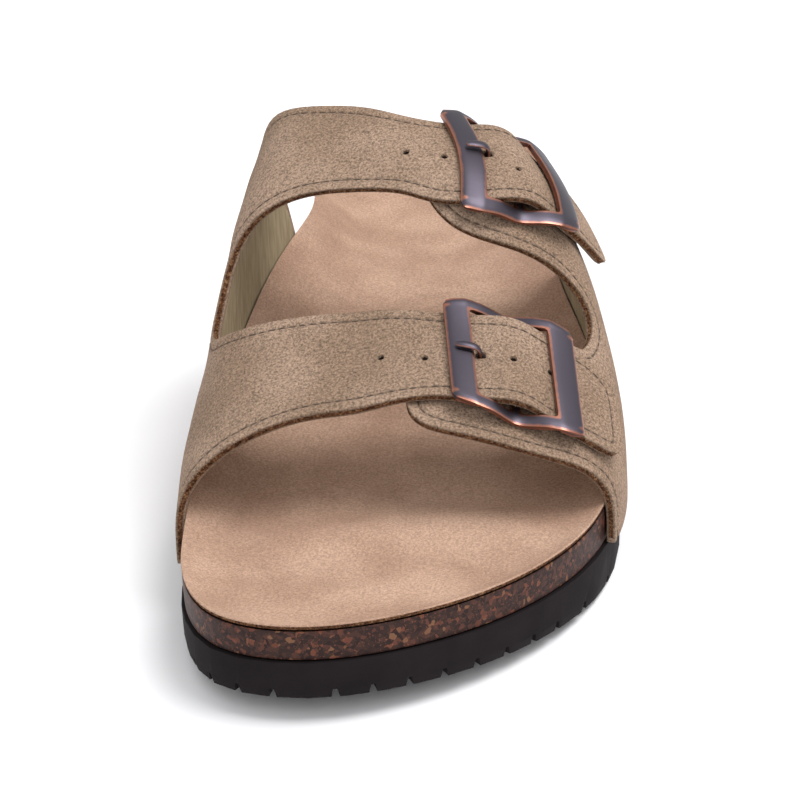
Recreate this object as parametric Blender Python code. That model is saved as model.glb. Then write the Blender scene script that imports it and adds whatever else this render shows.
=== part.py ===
"""Cork footbed sandal for the left foot: two buckled straps over a cork bed on a ribbed sole."""
import functools
import math

import bmesh
import bpy
import numpy as np

# Lengths are in millimetres until a mesh is made. Stations run from the back of the heel to the toe.
MM = 0.001
LENGTH = 280.0
GAP = 0.3
LINER = 1.4
WALL = 2.6
LEDGE = 0.6
SPINE_HEEL = 34.0
SPINE_TOE = 236.0
PAIRS = 38
TOP_RINGS = (1.0, 0.95, 0.88, 0.79, 0.67, 0.5, 0.27, 0.0)
UNDER_RINGS = (1.0, 0.5, 0.0)
ROLL_POWER = 2.0

# Plan of the foot's edge: station, across (lateral is plus). The lateral side comes first.
OUTLINE = (
    (0.0, 0.5), (9.0, 23.4), (32.0, 35.4), (70.0, 36.7), (110.0, 40.8), (147.5, 49.0), (181.5, 55.0),
    (212.5, 54.0), (239.0, 44.3), (261.0, 26.0), (275.0, 3.2), (279.6, -18.8),
    (272.7, -38.4), (252.7, -48.6), (222.0, -51.0), (190.0, -50.6), (154.5, -44.3), (114.5, -36.7),
    (75.0, -30.0), (34.0, -32.4), (9.0, -22.2),
)
OUTLINE_STEPS = 24

# Heights by station: station, medial rim, lateral rim, bed, cork underside, floor line,
# and how far in from the edge each side rolls down to the bed: medial roll, lateral roll.
SECTIONS = (
    (0.0, 36.5, 36.5, 26.0, 15.0, 0.0, 28.0, 28.0),
    (60.0, 41.0, 35.5, 25.5, 14.0, 0.0, 24.0, 22.0),
    (100.0, 44.0, 34.5, 27.5, 12.6, 0.0, 32.0, 22.0),
    (130.0, 42.5, 33.0, 27.0, 12.0, 0.0, 34.0, 20.0),
    (160.0, 35.5, 29.6, 24.5, 12.0, 0.0, 28.0, 18.0),
    (190.0, 28.7, 25.8, 21.5, 12.0, 0.0, 20.0, 14.0),
    (206.0, 26.6, 24.4, 20.7, 12.3, 0.0, 16.0, 13.0),
    (220.0, 25.5, 23.6, 20.5, 12.8, 1.0, 14.0, 12.0),
    (250.0, 25.2, 24.6, 21.0, 14.6, 4.0, 12.0, 11.0),
    (280.0, 26.8, 26.8, 23.0, 17.0, 7.0, 11.0, 11.0),
)
STATION, RIM_MEDIAL, RIM_LATERAL, BED, CORK_UNDER, FLOOR_LINE, ROLL_MEDIAL, ROLL_LATERAL = range(8)

# Soft bumps in the bed: station, across, height, reach along, reach across, lean of station over across.
BUMPS = (
    (163.0, 4.0, 2.6, 19.0, 15.0, 0.0),
    (226.0, 0.0, 3.4, 5.5, 34.0, -0.16),
)

# The inside of the upper over the instep: station, crown height, crown across, and how square
# each shoulder is: medial power, lateral power.
INSTEP = (
    (85.0, 95.5, -29.0, 3.3, 2.5),
    (116.5, 91.5, -26.0, 3.25, 2.55),
    (152.0, 83.0, -11.0, 3.3, 2.75),
    (185.0, 59.5, -9.8, 2.5, 2.5),
    (213.0, 49.3, -9.2, 2.4, 2.3),
    (235.0, 41.5, -8.2, 2.35, 2.25),
)
CROWN_HEIGHT, CROWN_ACROSS, POWER_MEDIAL, POWER_LATERAL = range(1, 5)
SPRING_DROP = 3.0

# Ways along the upper: minus 100 at the medial base, 0 at the crown, then millimetres down the
# lateral side. Columns of the medial piece: way, rear strap's rear and front edge,
# front strap's rear and front edge.
MEDIAL_EDGES = (
    (-100.0, 89.0, 163.0, 177.0, 227.0),
    (-72.0, 92.5, 164.0, 177.5, 224.0),
    (-58.0, 96.0, 165.0, 177.5, 222.4),
    (-50.0, 99.5, 164.0, 178.5, 221.6),
    (-45.0, 102.5, 161.0, 180.5, 221.0),
    (-35.0, 109.0, 158.0, 183.2, 219.6),
    (-25.0, 114.0, 156.6, 184.3, 218.2),
    (0.0, 122.8, 155.5, 185.0, 216.2),
    (15.0, 125.8, 155.7, 186.0, 216.2),
)
MEDIAL_BASE_WAYS = (-100.0, -91.0, -82.0, -73.0, -62.0, -50.0)
MEDIAL_SIDE_WAYS = (-45.0, -39.0, -33.0, -26.0, -18.0, -9.0, 0.0)
GAP_COLUMNS = 4
GAP_SAG = 3.0
LATERAL_SAG = 1.8
STRAP_COLUMNS = (0.0, 0.2, 0.44, 0.56, 0.8, 1.0)
HOLE_COLUMN = 2

# Columns of the lateral piece, as parts of the way from the crown (0) to the base (100):
# way, rear tab's rear and front edge, front tab's rear and front edge.
LATERAL_EDGES = (
    (16.0, 136.0, 155.0, 189.0, 215.0),
    (19.0, 132.5, 160.5, 186.0, 218.8),
    (24.0, 130.0, 164.0, 184.5, 221.0),
    (32.0, 128.0, 165.2, 184.5, 222.0),
    (45.0, 124.0, 164.8, 184.5, 223.1),
    (54.0, 119.5, 165.4, 184.5, 223.5),
    (61.0, 115.5, 168.0, 183.0, 223.0),
    (75.0, 109.0, 169.0, 182.5, 219.7),
    (84.0, 105.5, 169.0, 182.5, 218.4),
    (100.0, 101.0, 169.0, 182.5, 219.5),
)
LATERAL_TAB_WAYS = (16.0, 19.0, 24.0, 32.0, 40.0, 48.0, 55.0, 61.0)
LATERAL_BASE_WAYS = (67.0, 73.0, 79.0, 85.0, 92.0, 100.0)
TAB_COLUMNS = (0.0, 0.2, 0.4, 0.6, 0.8, 1.0)

# Each buckle: name, station of its middle, millimetres down from the crown, half width of the
# strap in it, how far the strap's end stands off, how the buckle is turned (stations per
# millimetre down, and millimetres down per station), and how long the strap's end is as a share.
BUCKLES = (
    ("rear", 143.6, 43.2, 12.6, 2.4, -0.2, -0.1, 1.28),
    ("front", 200.8, 39.0, 13.5, 0.6, 0.05, 0.075, 0.82),
)
# How high the strap's lining rides over the upper's inside, by distance down the strap from the
# middle of the buckle.
STRAP_LIFT = (
    (-46.0, 0.0), (-37.0, 0.3), (-30.0, 2.6), (-24.0, 3.1), (-15.0, 3.25), (-9.3, 3.7), (-6.0, 4.8),
    (-3.0, 5.7), (0.0, 5.95), (3.0, 5.6), (6.0, 4.4), (10.0, 3.15), (14.0, 3.0), (18.0, 3.0), (23.0, 3.0),
)
TAIL_FROM = 16.0
TAIL_END = 29.6
STRAP_WAYS = (-32.0, -27.0, -21.0, -15.0, -9.3, -6.0, -3.0, 0.0, 3.0, 6.0, 10.0, 14.0, 18.0, 22.0, 26.0, 28.6, 29.6)
HOLE_WAY = -9.3
# Blunt round end of the strap: distance down the strap, share of the full width.
TAIL_WIDTH = ((-60.0, 1.0), (14.0, 1.0), (18.0, 0.98), (22.0, 0.93), (26.0, 0.84), (28.6, 0.7), (29.6, 0.5))

# Buckle frame down the strap: distance from its middle, lower and upper face over the upper's inside.
FRAME_FACES = (
    (-15.6, 6.6, 7.8), (-14.6, 6.3, 8.4), (-10.4, 6.4, 8.4), (-9.5, 6.9, 8.0), (-6.5, 5.4, 7.2),
    (-4.0, 4.0, 5.9), (-1.1, 2.9, 4.3), (1.1, 2.9, 4.3), (4.0, 3.8, 5.7), (6.4, 5.1, 7.0),
    (9.0, 6.7, 7.8), (10.0, 6.1, 8.2), (14.0, 6.1, 8.2), (15.0, 6.4, 7.6),
)
FRAME_REACH = 3.2
FRAME_EASE = 0.4
FRAME_SQUEEZE = 2.2
WINDOW_STARTS = (3, 7)
WINDOW_STOPS = (6, 10)

# Prong: distance down the strap and height of its centre line, half width, half thickness.
PRONG_PATH = (
    (2.1, 3.3, 0.9, 0.5), (2.0, 4.3, 1.2, 0.5), (1.2, 5.1, 1.2, 0.5), (-1.2, 5.1, 1.2, 0.5), (-4.0, 4.3, 1.2, 0.5),
    (-6.4, 3.8, 1.1, 0.55), (-7.4, 4.9, 1.1, 0.55), (-7.8, 7.0, 1.1, 0.55), (-8.3, 8.6, 1.1, 0.55),
    (-9.6, 9.4, 1.1, 0.55), (-12.4, 9.4, 1.0, 0.55), (-13.9, 9.2, 0.6, 0.35),
)

# Tread: grooves from side to side on the tread, then notches round the toe.
GROOVE_STATIONS = (14.0, 31.0, 48.0, 65.0, 82.0, 99.0, 116.0, 133.0, 150.0, 167.0, 184.0, 201.0, 218.0, 235.0)
GROOVE_REACH = 70.0
GROOVE_STEP = 14.0
GROOVE_SWING = 3.0
GROOVE_HALF = 1.9
GROOVE_TAPER = 0.6
GROOVE_DEPTH = 2.4
NOTCH_FROM = 245.0
NOTCH_PITCH = 9.0
NOTCH_IN = 6.0
NOTCH_HALF = 1.6

# Materials: name, colour, roughness, metallic.
MATERIALS = {
    "foam": ((0.035, 0.026, 0.022), 0.75, 0.0),
    "cork": ((0.12, 0.055, 0.03), 0.55, 0.0),
    "suede_lining": ((0.5, 0.3, 0.2), 0.95, 0.0),
    "suede": ((0.27, 0.19, 0.13), 0.95, 0.0),
    "antique_copper": ((0.28, 0.15, 0.11), 0.35, 1.0),
}
SMOOTH_ANGLE = math.radians(35.0)


@functools.lru_cache(maxsize=None)
def table_columns(rows):
    """A table as an array, with the slope of each column at each row."""
    table = np.array(rows, float)
    return table, np.gradient(table, table[:, 0], axis=0)


def smooth(rows, column, at):
    """Soft curve through one column of a table, held flat beyond its ends."""
    table, slopes = table_columns(rows)
    at = min(max(at, table[0, 0]), table[-1, 0])
    i = min(max(int(np.searchsorted(table[:, 0], at)) - 1, 0), len(table) - 2)
    span = table[i + 1, 0] - table[i, 0]
    s = (at - table[i, 0]) / span
    low, high = table[i, column], table[i + 1, column]
    rise_low, rise_high = slopes[i, column] * span, slopes[i + 1, column] * span
    return (low + s * rise_low + s * s * (3 * (high - low) - 2 * rise_low - rise_high)
            + s ** 3 * (2 * (low - high) + rise_low + rise_high))


def straight(rows, column, at):
    """Straight lines through one column of a table."""
    table = table_columns(rows)[0]
    return float(np.interp(at, table[:, 0], table[:, column]))


@functools.lru_cache(maxsize=None)
def plan_sides():
    """Medial and lateral edge of the foot, each from heel to toe, as station and across."""
    rows = np.array(OUTLINE)
    s = np.linspace(0, 1, OUTLINE_STEPS, endpoint=False)[:, None]
    before, here, after, beyond = (np.roll(rows, k, 0)[:, None, :] for k in (1, 0, -1, -2))
    curve = 0.5 * (2 * here + (after - before) * s + (2 * before - 5 * here + 4 * after - beyond) * s ** 2
                   + (3 * here - before - 3 * after + beyond) * s ** 3)
    curve = curve.reshape(-1, 2)
    heel = curve[:, 0].argmin()
    toe = (curve[:, 0].argmax() - heel) % len(curve)
    curve = np.roll(curve, -heel, 0)
    return np.vstack([curve[toe:], curve[:1]])[::-1], curve[: toe + 1]


def edge_across(station, lateral):
    """Across position of the foot's edge at a station."""
    side = plan_sides()[1 if lateral else 0]
    return float(np.interp(station, side[:, 0], side[:, 1]))


@functools.lru_cache(maxsize=None)
def pairs():
    """Edge points round the foot with their outward direction, spine point and side."""
    found = []
    for lateral, side in ((True, plan_sides()[1]), (False, plan_sides()[0])):
        run = np.concatenate([[0], np.cumsum(np.hypot(*np.diff(side, axis=0).T))])
        at = np.linspace(0, run[-1], PAIRS + 1)
        found.append(np.column_stack([np.interp(at, run, side[:, 0]), np.interp(at, run, side[:, 1])]))
    lateral_side, medial_side = found
    middle = np.clip((lateral_side[:, 0] + medial_side[:, 0]) / 2, SPINE_HEEL, SPINE_TOE)
    loop = [(k, lateral_side[k], True) for k in range(PAIRS + 1)]
    loop += [(k, medial_side[k], False) for k in range(PAIRS - 1, 0, -1)]
    edge = np.array([point for _, point, _ in loop])
    along = np.roll(edge, -1, 0) - np.roll(edge, 1, 0)
    outward = np.column_stack([-along[:, 1], along[:, 0]]) / np.hypot(*along.T)[:, None]
    ring = []
    for (k, point, lateral), out in zip(loop, outward):
        across = (edge_across(middle[k], True) + edge_across(middle[k], False)) / 2
        ring.append((point, out, np.array([middle[k], across]), lateral))
    return ring


def bed_height(station, across, inset, lateral):
    """Top of the footbed at a point, with its distance in from the edge."""
    rim = smooth(SECTIONS, RIM_LATERAL if lateral else RIM_MEDIAL, station)
    roll = smooth(SECTIONS, ROLL_LATERAL if lateral else ROLL_MEDIAL, station)
    bed = smooth(SECTIONS, BED, station)
    part = max(0.0, 1.0 - inset / roll)
    height = bed + (rim - bed) * part ** ROLL_POWER
    for at, centre, rise, along, wide, lean in BUMPS:
        ahead = (station - at - lean * (across - centre)) / along
        aside = (across - centre) / wide
        height += rise * math.exp(-ahead * ahead - aside ** 4) * (1 - part)
    return height


def sole_ring(share, outset, height):
    """Points round the foot, a share of the way out from the spine, with a height rule."""
    ring = []
    for edge, out, spine, lateral in pairs():
        reach = edge + out * outset
        point = spine + (reach - spine) * share
        inset = math.hypot(*(reach - spine)) * (1 - share)
        ring.append((point[1], LENGTH / 2 - point[0], height(point[0], point[1], inset, lateral)))
    return ring


def material(name):
    """One of the sandal's materials, made on first use."""
    made = bpy.data.materials.get(name)
    if made is None:
        colour, roughness, metallic = MATERIALS[name]
        made = bpy.data.materials.new(name)
        made.use_nodes = True
        shader = made.node_tree.nodes["Principled BSDF"]
        shader.inputs["Base Color"].default_value = (*colour, 1.0)
        shader.inputs["Roughness"].default_value = roughness
        shader.inputs["Metallic"].default_value = metallic
    return made


def finish_solid(name, finish, bm):
    """Close the mesh, turn its faces outward and add it to the file as one named solid."""
    bmesh.ops.remove_doubles(bm, verts=bm.verts, dist=0.001)
    bmesh.ops.recalc_face_normals(bm, faces=bm.faces)
    bmesh.ops.scale(bm, vec=(MM, MM, MM), verts=bm.verts)
    mesh = bpy.data.meshes.new(name)
    bm.to_mesh(mesh)
    bm.free()
    mesh.shade_smooth()
    mesh.set_sharp_from_angle(angle=SMOOTH_ANGLE)
    if finish:
        mesh.materials.append(material(finish))
    made = bpy.data.objects.new(name, mesh)
    bpy.context.scene.collection.objects.link(made)
    return made


def skin(bm, rings):
    """Faces between one closed ring of points and the next."""
    loops = [[bm.verts.new(point) for point in ring] for ring in rings]
    for one, two in zip(loops, loops[1:]):
        for i in range(len(one)):
            j = (i + 1) % len(one)
            bm.faces.new((one[i], one[j], two[j], two[i]))
    return loops


def rings_solid(name, finish, rising, falling):
    """Solid whose first and last ring fold onto the spine; facing layers split their faces alike."""
    bm = bmesh.new()
    loops = [[bm.verts.new(point) for point in ring] for ring in rising + falling]
    for step, (one, two) in enumerate(zip(loops, loops[1:])):
        for i in range(len(one)):
            j = (i + 1) % len(one)
            if step < len(rising) - 1:
                bm.faces.new((one[i], one[j], two[i]))
                bm.faces.new((one[j], two[j], two[i]))
            else:
                bm.faces.new((one[i], one[j], two[j]))
                bm.faces.new((one[i], two[j], two[i]))
    for loop in (loops[0], loops[-1]):
        for k in range(1, PAIRS):
            bmesh.ops.pointmerge(bm, verts=[loop[k], loop[2 * PAIRS - k]], merge_co=loop[k].co)
    return finish_solid(name, finish, bm)


def column_height(column, lift):
    """Height rule that reads one column of the sections."""
    return lambda station, across, inset, lateral: smooth(SECTIONS, column, station) + lift


def floor_height(station):
    """Underside of the outsole: flat on the floor, then up under the toes."""
    return max(0.0, smooth(SECTIONS, FLOOR_LINE, station))


def floor_rule(lift):
    """Height rule that follows the outsole's underside."""
    return lambda station, across, inset, lateral: floor_height(station) + lift


def bed_rule(lift):
    """Height rule that follows the footbed's top."""
    return lambda station, across, inset, lateral: bed_height(station, across, inset, lateral) + lift


def make_insole():
    top = [sole_ring(share, 0.0, bed_rule(0.0)) for share in reversed(TOP_RINGS)]
    under = [sole_ring(share, 0.0, bed_rule(-LINER)) for share in TOP_RINGS]
    return rings_solid("suede_insole", "suede_lining", top, under)


def make_cork():
    top = [sole_ring(share, 0.0, bed_rule(-LINER - GAP)) for share in reversed(TOP_RINGS)]
    under = [sole_ring(share, 0.0, column_height(CORK_UNDER, 0.0)) for share in UNDER_RINGS]
    return rings_solid("cork_footbed", "cork", top, under)


def make_outsole():
    top = [sole_ring(share, 0.0, column_height(CORK_UNDER, -GAP)) for share in reversed(UNDER_RINGS)]
    side = [
        sole_ring(1.0, LEDGE, column_height(CORK_UNDER, -GAP)),
        sole_ring(1.0, LEDGE, floor_rule(2.0)),
        sole_ring(1.0, 0.2, floor_rule(0.0)),
        sole_ring(0.0, 0.0, floor_rule(0.0)),
    ]
    sole = rings_solid("outsole", "foam", top, side)
    cut = sole.modifiers.new("tread", "BOOLEAN")
    cut.operation = "DIFFERENCE"
    cut.solver = "EXACT"
    cut.object = make_tread_cutter()
    return sole


def groove_section(across, station):
    """Four corners of a groove's section where it crosses one across position."""
    corners = []
    for half, rise in ((GROOVE_HALF, -2.0), (GROOVE_TAPER, GROOVE_DEPTH)):
        for side in (-1, 1):
            at = station + side * half
            corners.append((across, LENGTH / 2 - at, floor_height(at) + rise))
    return corners[0], corners[1], corners[3], corners[2]


def cap(bm, loops):
    bm.faces.new(loops[0])
    bm.faces.new(loops[-1])


def make_tread_cutter():
    """Zigzag grooves across the tread and short notches round the toe, as one cutting object."""
    bm = bmesh.new()
    steps = int(2 * GROOVE_REACH / GROOVE_STEP) + 1
    for station in GROOVE_STATIONS:
        rings = []
        for i in range(steps):
            swing = GROOVE_SWING if i % 2 else -GROOVE_SWING
            rings.append(groove_section(-GROOVE_REACH + i * GROOVE_STEP, station + swing))
        cap(bm, skin(bm, rings))
    for lateral, side in ((True, plan_sides()[1]), (False, plan_sides()[0])):
        run = np.concatenate([[0], np.cumsum(np.hypot(*np.diff(side, axis=0).T))])
        start = np.interp(NOTCH_FROM, side[:, 0], run)
        for at in np.arange(start, run[-1] - NOTCH_PITCH / 3, NOTCH_PITCH):
            here = np.array([np.interp(at, run, side[:, 0]), np.interp(at, run, side[:, 1])])
            ahead = np.array([np.interp(at + 1, run, side[:, 0]), np.interp(at + 1, run, side[:, 1])])
            along = (ahead - here) / np.hypot(*(ahead - here))
            out = np.array([-along[1], along[0]]) * (1 if lateral else -1)
            rings = []
            for reach in (-NOTCH_IN, NOTCH_IN):
                ring = []
                for half, rise in ((-NOTCH_HALF, -3.0), (NOTCH_HALF, -3.0), (0.5, GROOVE_DEPTH), (-0.5, GROOVE_DEPTH)):
                    spot = here + out * reach + along * half
                    ring.append((spot[1], LENGTH / 2 - spot[0], floor_height(here[0]) + rise))
                rings.append(ring)
            cap(bm, skin(bm, rings))
    cutter = finish_solid("tread_cutter", None, bm)
    cutter.hide_render = True
    cutter.display_type = "WIRE"
    return cutter


@functools.lru_cache(maxsize=None)
def arch(station, lateral):
    """One half of the upper's inside at a station, crown first: across, height, run."""
    half = abs(edge_across(station, lateral)) + GAP
    sign = 1 if lateral else -1
    crown = smooth(INSTEP, CROWN_HEIGHT, station)
    middle = smooth(INSTEP, CROWN_ACROSS, station)
    spring = smooth(SECTIONS, RIM_LATERAL if lateral else RIM_MEDIAL, station) - SPRING_DROP
    power = smooth(INSTEP, POWER_LATERAL if lateral else POWER_MEDIAL, station)
    turn = np.linspace(0, math.pi / 2, 50)
    across = middle + sign * (half - sign * middle) * np.sin(turn) ** (2 / power)
    height = spring + (crown - spring) * np.cos(turn) ** (2 / power)
    across = np.append(across, sign * half)
    height = np.append(height, smooth(SECTIONS, CORK_UNDER, station))
    run = np.concatenate([[0], np.cumsum(np.hypot(np.diff(across), np.diff(height)))])
    return across, height, run


def inside_point(part, station):
    """Point on the upper's inside: part is -1 at the medial base, 0 at the crown, 1 at the lateral base."""
    across, height, run = arch(round(station, 3), part >= 0)
    at = min(abs(part), 1.0) * run[-1]
    return np.array([np.interp(at, run, across), LENGTH / 2 - station, np.interp(at, run, height)])


def part_of(way, station):
    """The part for a way: hundredths of the medial half, or millimetres down the lateral half."""
    if way <= 0:
        return way / 100.0
    return way / arch(round(station, 3), True)[2][-1]


def lifted(part, station, lift):
    """Point a height above the upper's inside."""
    step = 0.03
    low, high = max(part - step, -1.0), min(part + step, 1.0)
    round_foot = inside_point(high, station) - inside_point(low, station)
    along_foot = inside_point(part, station + 1.5) - inside_point(part, station - 1.5)
    outward = np.cross(along_foot, round_foot)
    return inside_point(part, station) + outward / np.linalg.norm(outward) * lift


def patch_solid(name, finish, cells, place):
    """Solid sheet from grid cells: place gives the inner or outer point of a grid corner."""
    bm = bmesh.new()
    made = {}

    def corner(i, j, outer):
        if (i, j, outer) not in made:
            made[i, j, outer] = bm.verts.new(place(i, j, outer))
        return made[i, j, outer]

    for i, j in sorted(cells):
        loop = ((i, j), (i + 1, j), (i + 1, j + 1), (i, j + 1))
        bm.faces.new([corner(a, b, True) for a, b in loop])
        bm.faces.new([corner(a, b, False) for a, b in reversed(loop)])
        beyond = ((i, j - 1), (i + 1, j), (i, j + 1), (i - 1, j))
        for here, after, next_cell in zip(loop, loop[1:] + loop[:1], beyond):
            if next_cell not in cells:
                bm.faces.new([corner(*after, True), corner(*here, True), corner(*here, False), corner(*after, False)])
    return finish_solid(name, finish, bm)


def strap_lift(way, middle, stand_off):
    """Height of the strap's lining over the upper's inside."""
    distance = way - middle
    tail = max(0.0, (distance - TAIL_FROM) / (TAIL_END - TAIL_FROM))
    return smooth(STRAP_LIFT, 1, distance) + stand_off * tail ** 1.5


def strap_spot(way, share, buckle, columns):
    """Way and station of a point a share of the way across a strap, from its rear edge."""
    _, station, middle, half, _, lean, slant, end_share = buckle
    rear, front = (smooth(MEDIAL_EDGES, column, way) for column in columns)
    plain = rear + (front - rear) * share
    if way <= 0:
        return way, plain
    near = min(max((way - 6.0) / (middle - 22.0), 0.0), 1.0)
    near = near * near * (3 - 2 * near)
    distance = way - middle
    aside = (2 * share - 1) * half * straight(TAIL_WIDTH, 1, distance)
    longer = (end_share - 1) * max(0.0, distance - TAIL_FROM)
    turned = station + aside + lean * (distance + longer)
    return way + slant * aside * near + longer, plain + (turned - plain) * near


def make_upper_medial():
    """Medial base with both straps, over the crown and through the buckles to their free ends."""
    strap = len(STRAP_COLUMNS) - 1
    front_from = strap + GAP_COLUMNS
    shared = MEDIAL_BASE_WAYS + MEDIAL_SIDE_WAYS
    ways = [shared + tuple(buckle[2] + way for way in STRAP_WAYS) for buckle in BUCKLES]
    base_rows = len(MEDIAL_BASE_WAYS) - 1
    cells = set()
    for side, start in ((0, 0), (1, front_from)):
        hole_row = len(shared) + STRAP_WAYS.index(HOLE_WAY)
        for i in range(len(ways[side]) - 1):
            for j in range(strap):
                if (i, j) != (hole_row, HOLE_COLUMN):
                    cells.add((i, start + j))
    for i in range(base_rows):
        for j in range(GAP_COLUMNS):
            cells.add((i, strap + j))

    def place(i, j, outer):
        side = 0 if j <= strap else 1
        in_gap = strap < j < front_from
        way = ways[0 if in_gap else side][i]
        if in_gap:
            part = (j - strap) / GAP_COLUMNS
            low = smooth(MEDIAL_EDGES, 2, way)
            high = smooth(MEDIAL_EDGES, 3, way)
            station = low + (high - low) * part
            way -= GAP_SAG * math.sin(math.pi * part) ** 0.7 * i / base_rows
        else:
            share = STRAP_COLUMNS[j - side * front_from]
            way, station = strap_spot(way, share, BUCKLES[side], (1, 2) if side == 0 else (3, 4))
        lift = strap_lift(ways[side][i], BUCKLES[side][2], BUCKLES[side][4]) if way > 0 else 0.0
        return lifted(part_of(way, station), station, lift + (WALL if outer else 0.0))

    return patch_solid("upper_medial", "suede", cells, place)


def make_upper_lateral():
    """Lateral base with a tab under each strap's end."""
    tab = len(TAB_COLUMNS) - 1
    front_from = tab + GAP_COLUMNS
    ways = LATERAL_TAB_WAYS + LATERAL_BASE_WAYS
    base_from = len(LATERAL_TAB_WAYS) - 1
    cells = {(i, start + j) for i in range(len(ways) - 1) for start in (0, front_from) for j in range(tab)}
    cells |= {(i, tab + j) for i in range(base_from, len(ways) - 1) for j in range(GAP_COLUMNS)}

    def place(i, j, outer):
        way = ways[i]
        rear_edge, rear_front, front_rear, front_edge = (smooth(LATERAL_EDGES, c, way) for c in (1, 2, 3, 4))
        if j <= tab:
            station = rear_edge + (rear_front - rear_edge) * TAB_COLUMNS[j]
        elif j < front_from:
            part = (j - tab) / GAP_COLUMNS
            station = rear_front + (front_rear - rear_front) * part
            left = (len(ways) - 1 - i) / (len(ways) - 1 - base_from)
            way += LATERAL_SAG * math.sin(math.pi * part) ** 0.7 * left
        else:
            station = front_rear + (front_edge - front_rear) * TAB_COLUMNS[j - front_from]
        return lifted(way / 100.0, station, WALL if outer else 0.0)

    return patch_solid("upper_lateral", "suede", cells, place)


def buckle_point(buckle, down, aside, lift):
    """Point in the buckle's own measures: down the strap, along the foot, over the upper's inside."""
    _, station, middle, _, _, lean, slant, _ = buckle
    at = station + aside + lean * down
    return lifted(part_of(middle + down + slant * aside, at), at, lift)


def make_frame(buckle):
    """Metal frame: two bars, a low middle bar and two arms that dip to it."""
    half = buckle[3] + FRAME_EASE
    outer = half + FRAME_REACH
    beside = (0.0, half / 2, half, half + 0.8, outer - 1.0, outer)
    asides = tuple(-aside for aside in reversed(beside[1:])) + beside
    downs = [row[0] for row in FRAME_FACES]
    window = range(3, len(asides) - 4)
    cells = {(i, j) for i in range(len(downs) - 1) for j in range(len(asides) - 1)}
    for start, stop in zip(WINDOW_STARTS, WINDOW_STOPS):
        cells -= {(i, j) for i in range(start, stop) for j in window}
    ends = len(downs) - 1

    def place(i, j, up):
        down, aside = downs[i], asides[j]
        corner = {0: FRAME_SQUEEZE, 1: FRAME_SQUEEZE / 2, ends - 1: FRAME_SQUEEZE / 2, ends: FRAME_SQUEEZE}.get(i, 0.0)
        rim = min(j, len(asides) - 1 - j)
        if corner and rim < 3:
            aside -= math.copysign(corner * (1.0, 0.85, 0.5)[rim], aside)
        lift = FRAME_FACES[i][2 if up else 1]
        edge = 0.35 if rim == 0 else 0.0
        return buckle_point(buckle, down, aside, lift + (-edge if up else edge))

    return patch_solid("buckle_frame_" + buckle[0], "antique_copper", cells, place)


def make_prong(buckle):
    """Metal pin, hooked over the middle bar, up through the strap and out over the near bar."""
    rings = []
    for i, (down, lift, wide, thick) in enumerate(PRONG_PATH):
        before, after = PRONG_PATH[max(i - 1, 0)], PRONG_PATH[min(i + 1, len(PRONG_PATH) - 1)]
        run, rise = after[0] - before[0], after[1] - before[1]
        length = math.hypot(run, rise)
        ring = []
        for k in range(8):
            turn = math.pi / 8 + k * math.pi / 4
            off = thick * math.sin(turn) / math.sin(3 * math.pi / 8)
            aside = wide * math.cos(turn) / math.cos(math.pi / 8)
            ring.append(buckle_point(buckle, down - rise / length * off, aside, lift + run / length * off))
        rings.append(ring)
    bm = bmesh.new()
    cap(bm, skin(bm, rings))
    return finish_solid("buckle_prong_" + buckle[0], "antique_copper", bm)


def centre_all():
    """Move every solid so that the whole sandal's middle stands over the origin."""
    objects = [ob for ob in bpy.data.objects if ob.type == "MESH"]
    seen = [ob for ob in objects if not ob.hide_render]
    across = [vert.co.x for ob in seen for vert in ob.data.vertices]
    along = [vert.co.y for ob in seen for vert in ob.data.vertices]
    middle = ((min(across) + max(across)) / 2, (min(along) + max(along)) / 2)
    for ob in objects:
        for vert in ob.data.vertices:
            vert.co.x -= middle[0]
            vert.co.y -= middle[1]
    return middle


def main():
    for old in list(bpy.data.objects):
        bpy.data.objects.remove(old, do_unlink=True)
    make_outsole()
    make_cork()
    make_insole()
    make_upper_medial()
    make_upper_lateral()
    for buckle in BUCKLES:
        make_frame(buckle)
        make_prong(buckle)
    print("middle moved by", centre_all())


main()
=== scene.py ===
"""Cork footbed sandal: the looks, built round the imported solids."""

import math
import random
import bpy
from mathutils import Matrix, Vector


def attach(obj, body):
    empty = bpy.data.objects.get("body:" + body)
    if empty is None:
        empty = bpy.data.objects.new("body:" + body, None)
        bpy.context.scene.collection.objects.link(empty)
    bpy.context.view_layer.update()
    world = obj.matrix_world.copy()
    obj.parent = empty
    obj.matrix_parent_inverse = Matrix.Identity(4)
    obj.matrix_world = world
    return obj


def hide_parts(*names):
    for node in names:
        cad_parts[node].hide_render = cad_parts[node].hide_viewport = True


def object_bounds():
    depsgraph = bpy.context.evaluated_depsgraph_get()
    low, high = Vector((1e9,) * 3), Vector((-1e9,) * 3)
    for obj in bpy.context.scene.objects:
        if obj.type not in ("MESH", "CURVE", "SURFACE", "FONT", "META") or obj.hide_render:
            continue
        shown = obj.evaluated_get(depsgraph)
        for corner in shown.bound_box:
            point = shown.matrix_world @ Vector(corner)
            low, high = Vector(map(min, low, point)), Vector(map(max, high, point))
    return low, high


bl_info = {
    "name": "Cork footbed sandal",
    "version": (1, 0, 0),
    "blender": (4, 5, 0),
    "location": "3D Viewport > Sidebar > Sandal",
    "description": "Builds the suede, cork, foam and metal of a two-strap sandal over its solids",
    "category": "Add Mesh",
}

import bmesh
import bpy
import numpy as np
from bpy.props import FloatProperty, FloatVectorProperty, PointerProperty, StringProperty
from mathutils import Matrix, Vector, noise
from mathutils.bvhtree import BVHTree
from mathutils.kdtree import KDTree

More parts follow.
